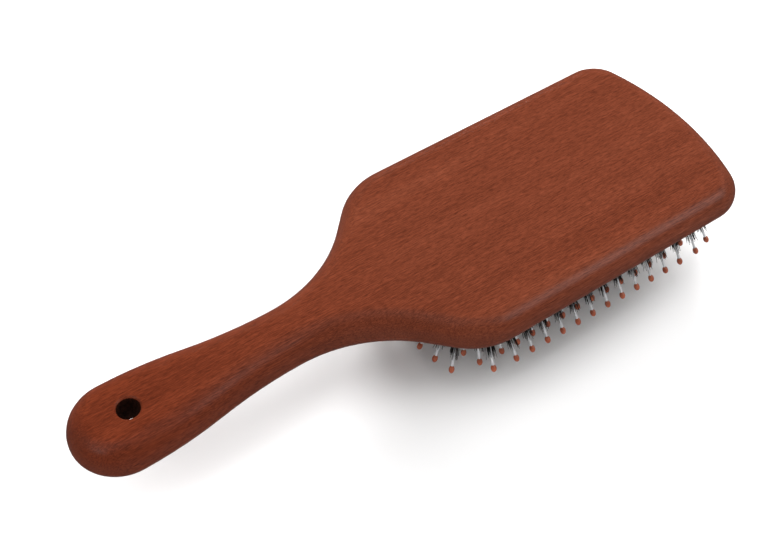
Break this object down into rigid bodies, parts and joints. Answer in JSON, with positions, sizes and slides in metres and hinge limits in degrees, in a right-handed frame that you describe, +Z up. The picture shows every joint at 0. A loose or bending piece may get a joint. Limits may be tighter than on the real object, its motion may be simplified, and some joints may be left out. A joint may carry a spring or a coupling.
{
  "type": "paddle hairbrush",
  "caption": "Wooden paddle hairbrush: one-piece handle and head with a hanging hole, a domed rubber air cushion, and tufts of dark bristle round ball-tipped pins.",
  "frame": {"origin": "under the middle of the whole brush, level with the lowest ball tips that it lies on", "axes": "+X from the handle's end to the head's far edge, +Y across the head, +Z up, from the tips to the flat wooden back"},
  "size_m": [0.25, 0.083, 0.0416],
  "materials": {
    "wood": "satin",
    "cushion_rubber": "matte",
    "liner_canvas": "matte",
    "plug_nylon": "matte",
    "pin_nylon": "satin",
    "ball_tip_nylon": "gloss",
    "boar_bristle": "matte"
  },
  "bodies": {
    "brush_body": {"wood_body": "wood", "rubber_cushion": "cushion_rubber"},
    "cushion_field": {"cushion_liner": "liner_canvas"},
    "column_1": {"tuft_plugs_1": "plug_nylon", "nylon_pins_1": "pin_nylon", "ball_tips_1": "ball_tip_nylon", "boar_bristles_1": "boar_bristle"},
    "column_2": {"tuft_plugs_2": "plug_nylon", "nylon_pins_2": "pin_nylon", "ball_tips_2": "ball_tip_nylon", "boar_bristles_2": "boar_bristle"},
    "column_3": {"tuft_plugs_3": "plug_nylon", "nylon_pins_3": "pin_nylon", "ball_tips_3": "ball_tip_nylon", "boar_bristles_3": "boar_bristle"},
    "column_4": {"tuft_plugs_4": "plug_nylon", "nylon_pins_4": "pin_nylon", "ball_tips_4": "ball_tip_nylon", "boar_bristles_4": "boar_bristle"},
    "column_5": {"tuft_plugs_5": "plug_nylon", "nylon_pins_5": "pin_nylon", "ball_tips_5": "ball_tip_nylon", "boar_bristles_5": "boar_bristle"},
    "column_6": {"tuft_plugs_6": "plug_nylon", "nylon_pins_6": "pin_nylon", "ball_tips_6": "ball_tip_nylon", "boar_bristles_6": "boar_bristle"},
    "column_7": {"tuft_plugs_7": "plug_nylon", "nylon_pins_7": "pin_nylon", "ball_tips_7": "ball_tip_nylon", "boar_bristles_7": "boar_bristle"},
    "column_8": {"tuft_plugs_8": "plug_nylon", "nylon_pins_8": "pin_nylon", "ball_tips_8": "ball_tip_nylon", "boar_bristles_8": "boar_bristle"},
    "column_9": {"tuft_plugs_9": "plug_nylon", "nylon_pins_9": "pin_nylon", "ball_tips_9": "ball_tip_nylon", "boar_bristles_9": "boar_bristle"},
    "column_10": {"tuft_plugs_10": "plug_nylon", "nylon_pins_10": "pin_nylon", "ball_tips_10": "ball_tip_nylon", "boar_bristles_10": "boar_bristle"},
    "column_11": {"tuft_plugs_11": "plug_nylon", "nylon_pins_11": "pin_nylon", "ball_tips_11": "ball_tip_nylon", "boar_bristles_11": "boar_bristle"}
  },
  "joints": [
    {"name": "cushion_press", "type": "slide", "parent": "brush_body", "child": "cushion_field", "axis": [0, 0, 1], "range_m": [0, 0.002], "stiffness_N_per_m": 4000, "deforming": ["rubber_cushion", "cushion_liner"]},
    {"name": "column_1_lean", "type": "hinge", "parent": "cushion_field", "child": "column_1", "pos_m": [0.05633, -0.029, 0.02786], "axis": [1, 0, 0], "range_deg": [-10, 10], "stiffness_Nm_per_rad": 0.2},
    {"name": "column_2_lean", "type": "hinge", "parent": "cushion_field", "child": "column_2", "pos_m": [0.05633, -0.0232, 0.02431], "axis": [1, 0, 0], "range_deg": [-10, 10], "stiffness_Nm_per_rad": 0.2},
    {"name": "column_3_lean", "type": "hinge", "parent": "cushion_field", "child": "column_3", "pos_m": [0.05633, -0.0174, 0.02169], "axis": [1, 0, 0], "range_deg": [-10, 10], "stiffness_Nm_per_rad": 0.2},
    {"name": "column_4_lean", "type": "hinge", "parent": "cushion_field", "child": "column_4", "pos_m": [0.05633, -0.0116, 0.01989], "axis": [1, 0, 0], "range_deg": [-10, 10], "stiffness_Nm_per_rad": 0.2},
    {"name": "column_5_lean", "type": "hinge", "parent": "cushion_field", "child": "column_5", "pos_m": [0.05633, -0.0058, 0.01885], "axis": [1, 0, 0], "range_deg": [-10, 10], "stiffness_Nm_per_rad": 0.2},
    {"name": "column_6_lean", "type": "hinge", "parent": "cushion_field", "child": "column_6", "pos_m": [0.05633, 0, 0.0185], "axis": [1, 0, 0], "range_deg": [-10, 10], "stiffness_Nm_per_rad": 0.2},
    {"name": "column_7_lean", "type": "hinge", "parent": "cushion_field", "child": "column_7", "pos_m": [0.05633, 0.0058, 0.01885], "axis": [1, 0, 0], "range_deg": [-10, 10], "stiffness_Nm_per_rad": 0.2},
    {"name": "column_8_lean", "type": "hinge", "parent": "cushion_field", "child": "column_8", "pos_m": [0.05633, 0.0116, 0.01989], "axis": [1, 0, 0], "range_deg": [-10, 10], "stiffness_Nm_per_rad": 0.2},
    {"name": "column_9_lean", "type": "hinge", "parent": "cushion_field", "child": "column_9", "pos_m": [0.05633, 0.0174, 0.02169], "axis": [1, 0, 0], "range_deg": [-10, 10], "stiffness_Nm_per_rad": 0.2},
    {"name": "column_10_lean", "type": "hinge", "parent": "cushion_field", "child": "column_10", "pos_m": [0.05633, 0.0232, 0.02431], "axis": [1, 0, 0], "range_deg": [-10, 10], "stiffness_Nm_per_rad": 0.2},
    {"name": "column_11_lean", "type": "hinge", "parent": "cushion_field", "child": "column_11", "pos_m": [0.05633, 0.029, 0.02786], "axis": [1, 0, 0], "range_deg": [-10, 10], "stiffness_Nm_per_rad": 0.2}
  ]
}
